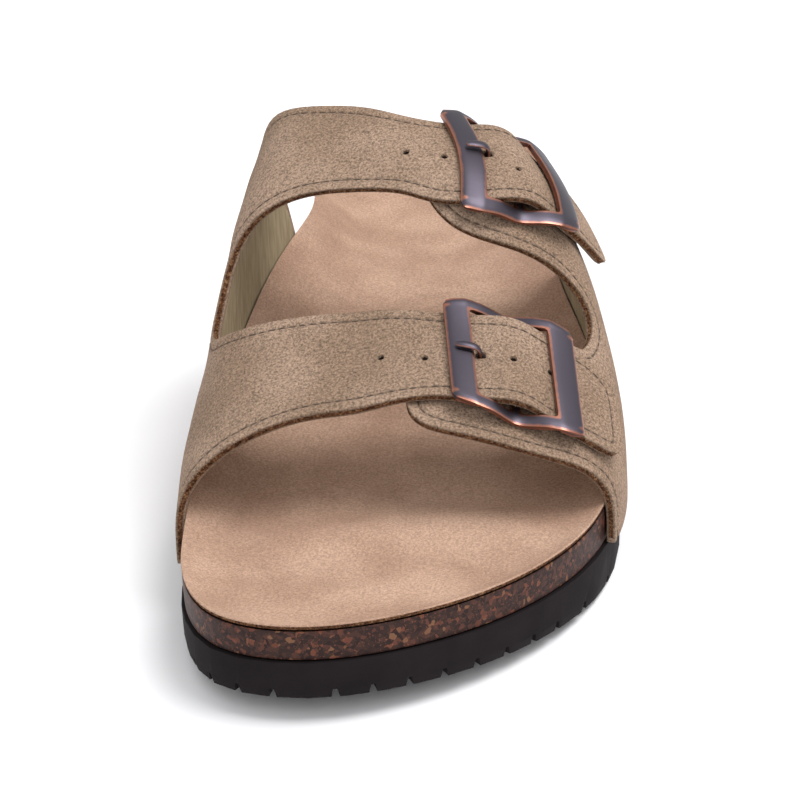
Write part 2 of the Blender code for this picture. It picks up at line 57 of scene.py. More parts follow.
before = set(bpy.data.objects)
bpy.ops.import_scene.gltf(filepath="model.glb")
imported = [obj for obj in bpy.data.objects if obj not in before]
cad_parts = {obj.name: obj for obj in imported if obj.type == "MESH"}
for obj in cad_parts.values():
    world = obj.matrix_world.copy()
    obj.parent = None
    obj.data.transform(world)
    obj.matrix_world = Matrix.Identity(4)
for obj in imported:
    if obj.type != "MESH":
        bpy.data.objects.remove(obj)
CAD_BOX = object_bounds()

MM = 0.001
SEED = 7
STRAPS = ("rear", "front")
# Each punched hole seen from above: millimetres towards the lateral side, then towards the heel.
PUNCHED_HOLES = ((1, -9), (11, -10), (30, -10), (-4, -63), (7, -64), (29, -64), (38, -62))
# The uppers are glued to the sole below this height, so no edge is stitched there.
GLUED_BELOW = 14.5 * MM
# The hem attribute is the distance in from the cut edge as a share of this width.
HEM = 6.0 * MM
# Edges nearer than this to a prong belong to its hole.
PRONG_CLEAR = 3.0 * MM
# The suede closes round a prong to this share of the hole in the solid.
PRONG_HOLE_SHARE = 0.6
# The suede's waves are about this long.
WAVE_LENGTH = 17 * MM
# Over this height above the glue the waves grow from nothing to their full depth.
WAVE_FADE = 20 * MM
# Points along cut and sharp edges are this close, so that distances to them are true.
EDGE_STEP = 0.3 * MM
# No row of stitches is shorter than this.
SHORTEST_ROW = 12 * MM
# The thread's middle lies this far over the groove.
THREAD_LIFT = 0.05 * MM
# Half a loose fibre's thickness; real ones are thinner, and these are as coarse as they need to show.
FIBRE_RADIUS = 0.05 * MM
# The lamps face this point in the sandal.
LIT_POINT = Vector((0.0, 0.0, 0.03))
OUTER, CUT, LINING, PUNCHED = range(4)


class SandalLeatherSettings(bpy.types.PropertyGroup):
    """Sizes and colours of the suede upper and the suede liner."""

    suede: StringProperty(name="Suede", description="Main colour of the upper's suede", default="#98816F")
    suede_dark: StringProperty(name="Suede shadow", description="Colour of brushed patches",
                               default="#87715F")
    core: StringProperty(name="Cut edge", description="Colour of the hide's cut core", default="#5E3D29")
    lining: StringProperty(name="Lining", description="Colour of the upper's inner face", default="#A3977C")
    liner: StringProperty(name="Footbed suede", description="Colour of the suede on the bed",
                          default="#BB9B86")
    liner_dark: StringProperty(name="Footbed suede shade", description="Its darker patches",
                               default="#A98975")
    thread: StringProperty(name="Thread", description="Colour of the stitching thread", default="#57463A")
    stitch_inset: FloatProperty(name="Stitch inset", description="From the cut edge to the stitches",
                                default=3.0 * MM, unit="LENGTH")
    stitch_pitch: FloatProperty(name="Stitch pitch", description="From one stitch to the next",
                                default=2.7 * MM, unit="LENGTH")
    stitch_length: FloatProperty(name="Stitch length", description="Thread seen in one stitch",
                                 default=1.9 * MM, unit="LENGTH")
    thread_width: FloatProperty(name="Thread width", description="Across one thread",
                                default=0.38 * MM, unit="LENGTH")
    groove_depth: FloatProperty(name="Groove depth", description="How far the stitches pull the suede in",
                                default=0.35 * MM, unit="LENGTH")
    groove_width: FloatProperty(name="Groove width", description="Across the stitched groove",
                                default=1.1 * MM, unit="LENGTH")
    hole_width: FloatProperty(name="Hole width", description="Across a punched hole",
                              default=1.5 * MM, unit="LENGTH")
    hole_depth: FloatProperty(name="Hole depth", description="How far a punched hole sinks into the suede",
                              default=1.3 * MM, unit="LENGTH")
    wave: FloatProperty(name="Wave", description="How far the suede rises and falls",
                        default=0.3 * MM, unit="LENGTH")
    fibre_length: FloatProperty(name="Fibre length", description="Longest loose fibre at a cut edge",
                                default=1.1 * MM, unit="LENGTH")
    fibre_pitch: FloatProperty(name="Fibre spacing", description="Between loose fibres at a cut edge",
                               default=0.55 * MM, unit="LENGTH")


class SandalSoleSettings(bpy.types.PropertyGroup):
    """Colours of the cork bed and the foam sole."""

    cork: StringProperty(name="Cork", description="Main colour of the cork grains", default="#35241F")
    cork_dark: StringProperty(name="Cork binder", description="Colour between the grains", default="#281A18")
    cork_light: StringProperty(name="Cork fleck", description="Colour of the lightest grains",
                               default="#8A5540")
    foam: StringProperty(name="Foam", description="Colour of the moulded foam sole", default="#211C1D")
    grain: FloatProperty(name="Cork grain", description="Across one cork grain",
                         default=1.1 * MM, unit="LENGTH")


class SandalMetalSettings(bpy.types.PropertyGroup):
    """Colours of the buckles."""

    patina: StringProperty(name="Patina", description="Colour of the darkened plate", default="#524D56")
    copper: StringProperty(name="Copper", description="Colour where the plate is rubbed bright",
                           default="#AD7560")


class SandalStageSettings(bpy.types.PropertyGroup):
    """Camera, floor and light."""

    camera_place: FloatVectorProperty(name="Camera place", description="Where the camera stands", size=3,
                                      default=(0.05862, -0.77599, 0.41271), subtype="TRANSLATION")
    camera_turn: FloatVectorProperty(name="Camera turn", description="Heading, downward tilt and roll",
                                     size=3, default=(-0.084, 0.478, -0.060), subtype="EULER")
    camera_lens: FloatProperty(name="Lens", description="Focal length in millimetres", default=145.1)
    camera_shift: FloatVectorProperty(name="Shift", description="Frame shift across and up", size=2,
                                      default=(0.0070, 0.0149))
    floor: StringProperty(name="Floor", description="Colour of the studio floor", default="#FBFBFD")
    surround: FloatProperty(name="Surround", description="Strength of the even white light from all sides",
                            default=0.82)
    key_place: FloatVectorProperty(name="Key lamp place", description="Where the key lamp hangs", size=3,
                                   default=(0.55, -0.15, 1.25), subtype="TRANSLATION")
    key_power: FloatProperty(name="Key lamp power", description="Power of the key lamp",
                             default=13.5, unit="POWER")
    fill_place: FloatVectorProperty(name="Fill lamp place", description="Where the weak front lamp hangs",
                                    size=3, default=(0.2, -1.3, 1.1), subtype="TRANSLATION")
    fill_power: FloatProperty(name="Fill lamp power", description="Power of the front lamp", default=4.0,
                              unit="POWER")


SETTINGS = (
    ("sandal_leather", SandalLeatherSettings),
    ("sandal_sole", SandalSoleSettings),
    ("sandal_metal", SandalMetalSettings),
    ("sandal_stage", SandalStageSettings),
)


def linear(code):
    """Linear colour with alpha from an sRGB hex value."""
    parts = [int(code[i:i + 2], 16) / 255 for i in (1, 3, 5)]
    return (*[p / 12.92 if p <= 0.04045 else ((p + 0.055) / 1.055) ** 2.4 for p in parts], 1.0)


def add_node(tree, kind, settings=None, **links):
    """A node of a kind with its settings or ramp stops, and its named inputs set or linked."""
    made = tree.nodes.new(kind)
    for name, value in (settings or {}).items():
        if name == "stops":
            for _ in value[2:]:
                made.color_ramp.elements.new(0.5)
            for element, (at, colour) in zip(made.color_ramp.elements, value):
                element.position = at
                element.color = colour
        else:
            setattr(made, name, value)
    for name, value in links.items():
        key = int(name[1:]) if name[0] == "i" and name[1:].isdigit() else name.replace("_", " ")
        if isinstance(value, bpy.types.NodeSocket):
            tree.links.new(value, made.inputs[key])
        else:
            made.inputs[key].default_value = value
    return made


def new_material(name):
    """An empty material with its shader, and the coordinates of the piece."""
    made = bpy.data.materials.new(name)
    made.use_nodes = True
    tree = made.node_tree
    place = add_node(tree, "ShaderNodeTexCoord").outputs["Object"]
    return made, tree, tree.nodes["Principled BSDF"], place


def grey(level):
    """Grey with alpha from a linear level."""
    return (level, level, level, 1.0)


def suede_material(name, main, shade, speckle, hem=None):
    """Buffed suede: a short nap that scatters light evenly, specked, and brushed into patches."""
    made, tree, shader, place = new_material(name)
    brushed = add_node(tree, "ShaderNodeTexNoise", Vector=place, Scale=1 / (24 * MM), Detail=2.0)
    tone = add_node(tree, "ShaderNodeValToRGB", {"stops": ((0.38, linear(shade)), (0.62, linear(main)))},
                    Fac=brushed.outputs["Fac"])
    # Real nap clumps at about 0.3 mm, too fine to show, so it is drawn twice as coarse.
    nap = add_node(tree, "ShaderNodeTexNoise", Vector=place, Scale=1 / (0.62 * MM), Detail=3.0, Roughness=0.8)
    specks = add_node(tree, "ShaderNodeValToRGB",
                      {"stops": ((0.36, grey(1 - speckle)), (0.5, grey(1.0)), (0.66, grey(1 + speckle)))},
                      Fac=nap.outputs["Fac"])
    colour = add_node(tree, "ShaderNodeMix", {"data_type": "RGBA", "blend_type": "MULTIPLY"}, i0=1.0,
                      i6=tone.outputs["Color"], i7=specks.outputs["Color"]).outputs[2]
    if hem:
        # Handled suede is darker along its cut edge; the darker band where the thread pulls it in is painted
        # shade in the stitched groove.
        edge_distance = add_node(tree, "ShaderNodeAttribute", {"attribute_name": "hem"}).outputs["Fac"]
        shade_by_hem = add_node(tree, "ShaderNodeValToRGB", {"stops": hem}, Fac=edge_distance)
        colour = add_node(tree, "ShaderNodeMix", {"data_type": "RGBA", "blend_type": "MULTIPLY"}, i0=1.0,
                          i6=colour, i7=shade_by_hem.outputs["Color"]).outputs[2]
    tree.links.new(colour, shader.inputs["Base Color"])
    raised = add_node(tree, "ShaderNodeBump", Height=nap.outputs["Fac"], Distance=0.35 * MM, Strength=1.0)
    tree.links.new(raised.outputs["Normal"], shader.inputs["Normal"])
    shader.inputs["Roughness"].default_value = 0.95
    shader.inputs["Specular IOR Level"].default_value = 0.15
    shader.inputs["Sheen Weight"].default_value = 0.1
    shader.inputs["Sheen Roughness"].default_value = 0.5
    shader.inputs["Sheen Tint"].default_value = linear(main)
    return made


def cut_edge_material(settings):
    """Cut suede edge: the hide's brown core, with painted shade in its hollows and light loose fibres along
    it.
    """
    made, tree, shader, place = new_material("cut hide edge")
    # Single fibres are too fine to show, so small clumps of them are drawn.
    fibres = add_node(tree, "ShaderNodeTexNoise", Vector=place, Scale=1 / (0.9 * MM), Detail=4.0,
                      Roughness=0.8)
    # The darkest stop is painted shade where the noise, and so the bump, sinks lowest.
    stops = ((0.36, linear("#1C110B")), (0.52, linear(settings.core)), (0.64, linear("#8E6C4E")),
             (0.72, linear("#B8997B")))
    tone = add_node(tree, "ShaderNodeValToRGB", {"stops": stops}, Fac=fibres.outputs["Fac"])
    tree.links.new(tone.outputs["Color"], shader.inputs["Base Color"])
    raised = add_node(tree, "ShaderNodeBump", Height=fibres.outputs["Fac"], Distance=0.6 * MM, Strength=1.0)
    tree.links.new(raised.outputs["Normal"], shader.inputs["Normal"])
    shader.inputs["Roughness"].default_value = 0.95
    shader.inputs["Specular IOR Level"].default_value = 0.1
    return made


def lining_material(settings):
    """Skived split lining: paler and greyer than the suede, with fine streaks drawn round the foot."""
    made, tree, shader, place = new_material("skived lining")
    drawn = add_node(tree, "ShaderNodeMapping", Vector=place, Rotation=(0.5, 0.0, 0.0),
                     Scale=(0.25, 1.0, 0.2))
    streaks = add_node(tree, "ShaderNodeTexNoise", Vector=drawn.outputs[0], Scale=1 / (1.6 * MM), Detail=3.0)
    stops = ((0.3, linear("#8C7F66")), (0.62, linear(settings.lining)))
    tone = add_node(tree, "ShaderNodeValToRGB", {"stops": stops}, Fac=streaks.outputs["Fac"])
    tree.links.new(tone.outputs["Color"], shader.inputs["Base Color"])
    raised = add_node(tree, "ShaderNodeBump", Height=streaks.outputs["Fac"], Distance=0.15 * MM, Strength=0.8)
    tree.links.new(raised.outputs["Normal"], shader.inputs["Normal"])
    shader.inputs["Roughness"].default_value = 0.9
    shader.inputs["Specular IOR Level"].default_value = 0.15
    return made


def thread_material(settings):
    """Bonded polyester thread: a few shades darker than the suede, with the faint gloss of its wax."""
    made, tree, shader, place = new_material("bonded thread")
    waxed = add_node(tree, "ShaderNodeTexNoise", Vector=place, Scale=1 / (1.5 * MM), Detail=2.0)
    stops = ((0.3, linear("#41342A")), (0.7, linear(settings.thread)))
    tone = add_node(tree, "ShaderNodeValToRGB", {"stops": stops}, Fac=waxed.outputs["Fac"])
    tree.links.new(tone.outputs["Color"], shader.inputs["Base Color"])
    shader.inputs["Roughness"].default_value = 0.6
    return made


def fibre_material():
    """Loose hide fibres: pale where they catch the light, brown where they leave the core."""
    made, tree, shader, place = new_material("loose hide fibres")
    along = add_node(tree, "ShaderNodeTexNoise", Vector=place, Scale=1 / (1.2 * MM), Detail=1.0)
    stops = ((0.35, linear("#5E4230")), (0.65, linear("#A98A6C")))
    tone = add_node(tree, "ShaderNodeValToRGB", {"stops": stops}, Fac=along.outputs["Fac"])
    tree.links.new(tone.outputs["Color"], shader.inputs["Base Color"])
    shader.inputs["Roughness"].default_value = 0.9
    return made


def cork_material(settings):
    """Ground cork in dark latex: pressed flat grains with a few rust and honey flecks, sealed to a satin."""
    made, tree, shader, place = new_material("pressed cork")
    warp = add_node(tree, "ShaderNodeTexNoise", Vector=place, Scale=1 / (2.0 * MM), Detail=2.0)
    moved = add_node(tree, "ShaderNodeVectorMath", {"operation": "MULTIPLY_ADD"}, i0=warp.outputs["Color"],
                     i1=(1.4 * MM,) * 3, i2=place)
    cells = add_node(tree, "ShaderNodeTexVoronoi", Vector=moved.outputs[0], Scale=1 / settings.grain)
    pick = add_node(tree, "ShaderNodeSeparateColor", Color=cells.outputs["Color"])
    grains = add_node(tree, "ShaderNodeValToRGB", {"stops": (
        (0.0, linear(settings.cork_dark)), (0.55, linear(settings.cork)), (0.85, linear("#4C2F27")),
        (0.95, linear("#64392B")), (1.0, linear("#71503A")))}, Fac=pick.outputs[0])
    flecks = add_node(tree, "ShaderNodeTexNoise", Vector=place, Scale=1 / (0.65 * MM), Detail=3.0,
                      Roughness=0.75)
    share = add_node(tree, "ShaderNodeValToRGB", {"stops": ((0.6, grey(0.0)), (0.72, grey(0.85)))},
                     Fac=flecks.outputs["Fac"])
    mottled = add_node(tree, "ShaderNodeMix", {"data_type": "RGBA"}, i0=share.outputs["Color"],
                       i6=grains.outputs["Color"], i7=linear(settings.cork_light))
    tree.links.new(mottled.outputs[2], shader.inputs["Base Color"])
    raised = add_node(tree, "ShaderNodeBump", Height=flecks.outputs["Fac"], Distance=0.15 * MM, Strength=0.6)
    tree.links.new(raised.outputs["Normal"], shader.inputs["Normal"])
    shader.inputs["Roughness"].default_value = 0.5
    shader.inputs["Specular IOR Level"].default_value = 0.15
    return made


def foam_material(settings):
    """Moulded closed-cell foam: matt near-black with a faint orange-peel skin."""
    made, tree, shader, place = new_material("moulded foam")
    bloom = add_node(tree, "ShaderNodeTexNoise", Vector=place, Scale=1 / (12 * MM), Detail=3.0)
    stops = ((0.3, linear("#1A1617")), (0.7, linear(settings.foam)))
    tone = add_node(tree, "ShaderNodeValToRGB", {"stops": stops}, Fac=bloom.outputs["Fac"])
    skin = add_node(tree, "ShaderNodeTexNoise", Vector=place, Scale=1 / (0.9 * MM), Detail=2.0)
    raised = add_node(tree, "ShaderNodeBump", Height=skin.outputs["Fac"], Distance=0.1 * MM, Strength=0.6)
    tree.links.new(tone.outputs["Color"], shader.inputs["Base Color"])
    tree.links.new(raised.outputs["Normal"], shader.inputs["Normal"])
    shader.inputs["Roughness"].default_value = 0.7
    shader.inputs["Specular IOR Level"].default_value = 0.08
    return made


def copper_material(settings):
    """Antique copper plate: oxidised to a dark slate all over, then rubbed so that its edges shine."""
    made, tree, shader, place = new_material("rubbed antique copper")
    wear = add_node(tree, "ShaderNodeAttribute", {"attribute_name": "wear"}).outputs["Fac"]
    scuffs = add_node(tree, "ShaderNodeTexNoise", Vector=place, Scale=1 / (1.8 * MM), Detail=4.0,
                      Roughness=0.7)
    rubbed = add_node(tree, "ShaderNodeMath", {"operation": "MULTIPLY_ADD"}, i0=scuffs.outputs["Fac"],
                      i1=0.6, i2=wear)
    share = add_node(tree, "ShaderNodeMapRange", i0=rubbed.outputs[0], i1=0.6, i2=1.25)
    colour = add_node(tree, "ShaderNodeMix", {"data_type": "RGBA"}, i0=share.outputs[0],
                      i6=linear(settings.patina), i7=linear(settings.copper))
    tree.links.new(colour.outputs[2], shader.inputs["Base Color"])
    rough = add_node(tree, "ShaderNodeMapRange", i0=share.outputs[0], i3=0.42, i4=0.28)
    tree.links.new(rough.outputs[0], shader.inputs["Roughness"])
    raised = add_node(tree, "ShaderNodeBump", Height=scuffs.outputs["Fac"], Distance=0.04 * MM, Strength=0.5)
    tree.links.new(raised.outputs["Normal"], shader.inputs["Normal"])
    shader.inputs["Metallic"].default_value = 1.0
    return made


def hole_shade_material():
    """Inside of a punched hole: near-black painted shade that stands for the hole's depth."""
    made, tree, shader, place = new_material("punched hide")
    hole_mottle = add_node(tree, "ShaderNodeTexNoise", Vector=place, Scale=1 / (0.5 * MM), Detail=2.0)
    stops = ((0.3, linear("#120B08")), (0.7, linear("#241811")))
    tone = add_node(tree, "ShaderNodeValToRGB", {"stops": stops}, Fac=hole_mottle.outputs["Fac"])
    tree.links.new(tone.outputs["Color"], shader.inputs["Base Color"])
    shader.inputs["Roughness"].default_value = 0.95
    return made


def floor_material(settings):
    """Seamless studio paper: white and matt, with the faint mottle of its pulp."""
    made, tree, shader, place = new_material("studio paper")
    pulp = add_node(tree, "ShaderNodeTexNoise", Vector=place, Scale=1 / (60 * MM), Detail=2.0)
    stops = ((0.2, linear("#F6F6F8")), (0.8, linear(settings.floor)))
    tone = add_node(tree, "ShaderNodeValToRGB", {"stops": stops}, Fac=pulp.outputs["Fac"])
    tree.links.new(tone.outputs["Color"], shader.inputs["Base Color"])
    shader.inputs["Roughness"].default_value = 0.9
    return made


def activate(piece):
    """Select one piece alone and make it active."""
    bpy.ops.object.select_all(action="DESELECT")
    piece.select_set(True)
    bpy.context.view_layer.objects.active = piece


def start_piece(node, name):
    """A merged copy of a solid, back in four-sided faces."""
    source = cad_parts[node]
    piece = bpy.data.objects.new(name, source.data.copy())
    bpy.context.scene.collection.objects.link(piece)
    piece.data.materials.clear()
    activate(piece)
    bpy.ops.object.mode_set(mode="EDIT")
    bpy.ops.mesh.select_all(action="SELECT")
    bpy.ops.mesh.remove_doubles(threshold=0.00001)
    bpy.ops.mesh.tris_convert_to_quads(face_threshold=math.radians(60), shape_threshold=math.radians(60))
    bpy.ops.object.mode_set(mode="OBJECT")
    return piece


def apply_modifier(piece, kind, **values):
    """Add one modifier and apply it."""
    activate(piece)
    made = piece.modifiers.new(kind.lower(), kind)
    for name, value in values.items():
        setattr(made, name, value)
    bpy.ops.object.modifier_apply(modifier=made.name)


def soften_edges(piece, width, angle, **values):
    """Bevel the edges that turn by more than an angle in degrees."""
    apply_modifier(piece, "BEVEL", width=width, segments=2, limit_method="ANGLE",
                   angle_limit=math.radians(angle), **values)


def round_faces(piece):
    """Subdivide a piece's faces into a smooth surface."""
    apply_modifier(piece, "SUBSURF", levels=2, render_levels=2)


def finish_piece(piece, node, angle=40):
    """Shade, ride on the sandal and stand for its solid."""
    activate(piece)
    bpy.ops.object.shade_smooth_by_angle(angle=math.radians(angle))
    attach(piece, "root")
    if node:
        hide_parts(node)


def face_groups(bm, angle):
    """Groups of faces that meet at less than an angle, largest first."""
    seen = set()
    groups = []
    for first in bm.faces:
        if first in seen:
            continue
        seen.add(first)
        group = [first]
        for face in group:
            for edge in face.edges:
                if len(edge.link_faces) == 2 and edge.calc_face_angle() < angle:
                    for other in edge.link_faces:
                        if other not in seen:
                            seen.add(other)
                            group.append(other)
        groups.append(group)
    return sorted(groups, key=lambda group: -sum(face.calc_area() for face in group))


def mark_sheets(piece):
    """Give the outer face, the lining and the cut edge their materials, and close the prong holes in."""
    bm = bmesh.new()
    bm.from_mesh(piece.data)
    groups = face_groups(bm, math.radians(55))
    sheets = sorted(groups[:2], key=lambda group: np.mean([face.calc_center_median().z for face in group]))
    for face in bm.faces:
        face.material_index = CUT
    for group, slot in zip(sheets, (LINING, OUTER)):
        for face in group:
            face.material_index = slot
    waiting = {face for face in bm.faces if face.material_index == CUT}
    while waiting:
        ring = [waiting.pop()]
        for face in ring:
            for edge in face.edges:
                for other in edge.link_faces:
                    if other in waiting:
                        waiting.remove(other)
                        ring.append(other)
        corners = {vert for face in ring for vert in face.verts}
        # A ring of four walls, with eight corners, is a prong's square hole.
        if len(corners) == 8:
            for slot in (OUTER, LINING):
                rim = [vert for vert in corners
                       if any(face.material_index == slot for face in vert.link_faces)]
                middle = sum((vert.co for vert in rim), Vector()) / len(rim)
                for vert in rim:
                    vert.co = middle.lerp(vert.co, PRONG_HOLE_SHARE)
    bm.to_mesh(piece.data)
    bm.free()


def spots_tree(points):
    """Search tree over points."""
    tree = KDTree(len(points))
    for i, point in enumerate(points):
        tree.insert(point, i)
    tree.balance()
    return tree


def spread_along(ends, spacing):
    """Points spread along straight edges."""
    points = []
    for one, two in ends:
        steps = max(1, math.ceil((two - one).length / spacing))
        points += [one.lerp(two, i / steps) for i in range(steps + 1)]
    return points


def free_edges(piece):
    """Ends of the edges where an upper's sheets meet its cut edge, above the sole and off the prong holes."""
    prongs = spots_tree([vert.co for strap in STRAPS
                         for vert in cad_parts["buckle_prong_" + strap].data.vertices])
    bm = bmesh.new()
    bm.from_mesh(piece.data)
    found = []
    for edge in bm.edges:
        kinds = {face.material_index for face in edge.link_faces}
        middle = (edge.verts[0].co + edge.verts[1].co) / 2
        if kinds == {OUTER, CUT} and middle.z > GLUED_BELOW and prongs.find(middle)[2] > PRONG_CLEAR:
            found.append((edge.verts[0].co.copy(), edge.verts[1].co.copy()))
    bm.free()
    return found


def refine(piece, tree, reach, cuts, smallest=0.0):
    """Subdivide the outer faces over a smallest area that lie within reach of the points in a tree."""
    activate(piece)
    bpy.ops.object.mode_set(mode="EDIT")
    bpy.ops.mesh.select_mode(type="FACE")
    bpy.ops.mesh.select_all(action="DESELECT")
    bm = bmesh.from_edit_mesh(piece.data)
    for face in bm.faces:
        near = tree.find(face.calc_center_median())[2] < reach
        face.select_set(near and face.material_index == OUTER and face.calc_area() > smallest)
    bmesh.update_edit_mesh(piece.data)
    bpy.ops.mesh.subdivide(number_cuts=cuts)
    bpy.ops.object.mode_set(mode="OBJECT")


def punched_spots(piece):
    """Middle of every punched hole on the straps' outer face, found from straight above."""
    mesh = piece.data
    faces = [tuple(face.vertices) for face in mesh.polygons if face.material_index == OUTER]
    surface = BVHTree.FromPolygons([vert.co for vert in mesh.vertices], faces)
    top = CAD_BOX[1][2] + MM
    return [surface.ray_cast(Vector((aside * MM, along * MM, top)), Vector((0, 0, -1)))[0]
            for aside, along in PUNCHED_HOLES]


def press_surface(piece, hem_tree, holes, settings):
    """Pull the stitched groove in, sink the punched holes, let the suede wave, and keep the hem distance."""
    mesh = piece.data
    mesh.update()
    lined = np.zeros(len(mesh.vertices), bool)
    for face in mesh.polygons:
        if face.material_index == LINING:
            lined[list(face.vertices)] = True
    normals = [vert.normal.copy() for vert in mesh.vertices]
    hems = np.ones(len(mesh.vertices), np.float32)
    sunk = np.zeros(len(mesh.vertices), bool)
    for vert, normal in zip(mesh.vertices, normals):
        spot = vert.co.copy()
        inset = hem_tree.find(spot)[2]
        hems[vert.index] = min(inset / HEM, 1.0)
        free = min(max((spot.z - GLUED_BELOW) / WAVE_FADE, 0), 1)
        rise = settings.wave * free * noise.noise(spot / WAVE_LENGTH)
        if lined[vert.index]:
            vert.co = spot - normal * rise
            continue
        off = (inset - settings.stitch_inset) / (settings.groove_width / 2)
        rise -= settings.groove_depth * math.exp(-off * off)
        if holes:
            # At 1 this is the hole's rim; the suede starts to sink a little outside it.
            rim = holes.find(spot)[2] / (settings.hole_width / 2)
            rise -= settings.hole_depth * min(max((1.25 - rim) / 0.4, 0.0), 1.0)
            sunk[vert.index] = rim < 1.1
        vert.co = spot + normal * rise
    # Faces inside a hole's rim take the hole's painted shade.
    for face in mesh.polygons:
        if sunk[list(face.vertices)].all():
            face.material_index = PUNCHED
    mesh.attributes.new("hem", "FLOAT", "POINT").data.foreach_set("value", hems)
    mesh.update()


def hem_lines(piece, level):
    """Lines over the outer face at one hem distance, each a list of points with their normals."""
    mesh = piece.data
    mesh.calc_loop_triangles()
    hem = mesh.attributes["hem"].data
    spots = {}
    joins = {}
    for triangle in mesh.loop_triangles:
        if mesh.polygons[triangle.polygon_index].material_index != OUTER:
            continue
        crossed = []
        for a, b in ((0, 1), (1, 2), (2, 0)):
            key = tuple(sorted((triangle.vertices[a], triangle.vertices[b])))
            low, high = hem[key[0]].value, hem[key[1]].value
            if (low < level) != (high < level):
                one, two = mesh.vertices[key[0]], mesh.vertices[key[1]]
                part = (level - low) / (high - low)
                spots[key] = (one.co.lerp(two.co, part), one.normal.lerp(two.normal, part))
                crossed.append(key)
        if len(crossed) == 2:
            joins.setdefault(crossed[0], []).append(crossed[1])
            joins.setdefault(crossed[1], []).append(crossed[0])
    lines = []
    while joins:
        here = next((key for key, others in joins.items() if len(others) == 1), next(iter(joins)))
        line = []
        while here:
            line.append(spots[here])
            here = next((key for key in joins.pop(here) if key in joins), None)
        lines.append(line)
    return lines


def spaced(line, pitch, shortest):
    """Evenly spaced points along a line of points, with normal and heading."""
    points = np.array([tuple(point) for point, _ in line])
    normals = np.array([tuple(normal) for _, normal in line])
    run = np.concatenate([[0.0], np.cumsum(np.linalg.norm(np.diff(points, axis=0), axis=1))])
    if run[-1] < shortest:
        return []
    found = []
    for at in np.arange(pitch / 2, run[-1] - pitch / 2, pitch):
        here, ahead, behind = (Vector([np.interp(at + off, run, points[:, k]) for k in range(3)])
                               for off in (0.0, pitch / 3, -pitch / 3))
        normal = Vector([np.interp(at, run, normals[:, k]) for k in range(3)]).normalized()
        found.append((here, normal, (ahead - behind).normalized()))
    return found


def repeat_shape(name, places):
    """One mesh of the selected shape, moved to every place, in place of that shape."""
    shape = bpy.context.object
    points = [vert.co.copy() for vert in shape.data.vertices]
    faces = [tuple(face.vertices) for face in shape.data.polygons]
    bpy.ops.object.delete()
    all_points = [place @ point for place in places for point in points]
    starts = range(0, len(all_points), len(points))
    all_faces = [tuple(start + i for i in face) for start in starts for face in faces]
    mesh = bpy.data.meshes.new(name)
    mesh.from_pydata(all_points, [], all_faces)
    made = bpy.data.objects.new(name, mesh)
    bpy.context.scene.collection.objects.link(made)
    return made


def turned(spot, heading, normal, size):
    """Transform with its X axis on a heading, its Z axis near a normal, and a size."""
    aside = normal.cross(heading).normalized()
    up = heading.cross(aside)
    turn = Matrix((heading, aside, up)).transposed().to_4x4()
    return Matrix.Translation(spot) @ turn @ Matrix.Diagonal((*size, 1.0))


def lay_stitches(piece, settings, finish):
    """A row of stitches in the groove of one upper."""
    places = []
    for line in hem_lines(piece, settings.stitch_inset / HEM):
        for spot, normal, heading in spaced(line, settings.stitch_pitch, SHORTEST_ROW):
            size = (settings.stitch_length / 2, settings.thread_width / 2, settings.thread_width / 2)
            places.append(turned(spot + normal * THREAD_LIFT, heading, normal, size))
    bpy.ops.mesh.primitive_uv_sphere_add(segments=6, ring_count=4, radius=1.0)
    bpy.context.object.rotation_euler.y = math.pi / 2
    bpy.ops.object.transform_apply(rotation=True)
    stitches = repeat_shape(piece.name + "_stitches", places)
    stitches.data.materials.append(finish)
    finish_piece(stitches, None)


def fray_edges(piece, settings, finish):
    """Short loose fibres along the cut edges of one upper."""
    chance = random.Random(SEED + len(piece.name))
    places = []
    for spot in spread_along(free_edges(piece), settings.fibre_pitch):
        heading = Vector([chance.uniform(-1, 1) for _ in range(3)]).normalized()
        size = settings.fibre_length * chance.uniform(0.3, 1.0)
        aside = heading.orthogonal().normalized()
        places.append(turned(spot, heading, aside, (size, FIBRE_RADIUS, FIBRE_RADIUS)))
    bpy.ops.mesh.primitive_cone_add(vertices=3, radius1=1.0, radius2=0.0, depth=1.0, location=(0, 0, 0))
    bpy.context.object.rotation_euler.y = math.pi / 2
    bpy.ops.object.transform_apply(rotation=True)
    fibres = repeat_shape(piece.name + "_fibres", places)
    fibres.data.materials.append(finish)
    finish_piece(fibres, None)


def edge_wear(piece, node, reach):
    """Point attribute that is 1 at the solid's sharp edges and fades to 0 at a reach from them."""
    bm = bmesh.new()
    bm.from_mesh(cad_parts[node].data)
    bmesh.ops.remove_doubles(bm, verts=bm.verts, dist=0.01 * MM)
    sharp = [(edge.verts[0].co.copy(), edge.verts[1].co.copy()) for edge in bm.edges
             if len(edge.link_faces) == 2 and edge.calc_face_angle() > math.radians(50)]
    bm.free()
    tree = spots_tree(spread_along(sharp, EDGE_STEP))
    wear = [max(0.0, 1.0 - tree.find(vert.co)[2] / reach) for vert in piece.data.vertices]
    piece.data.attributes.new("wear", "FLOAT", "POINT").data.foreach_set("value", wear)


class SANDAL_OT_cork(bpy.types.Operator):
    """Cork bed with a softened top edge"""

    bl_idname = "sandal.cork"
    bl_label = "Cork bed"

    def execute(self, context):
        piece = start_piece("cork_footbed", "cork_bed")
        soften_edges(piece, 0.5 * MM, 40)
        round_faces(piece)
        piece.data.materials.append(cork_material(context.scene.sandal_sole))
        finish_piece(piece, "cork_footbed")
        return {"FINISHED"}


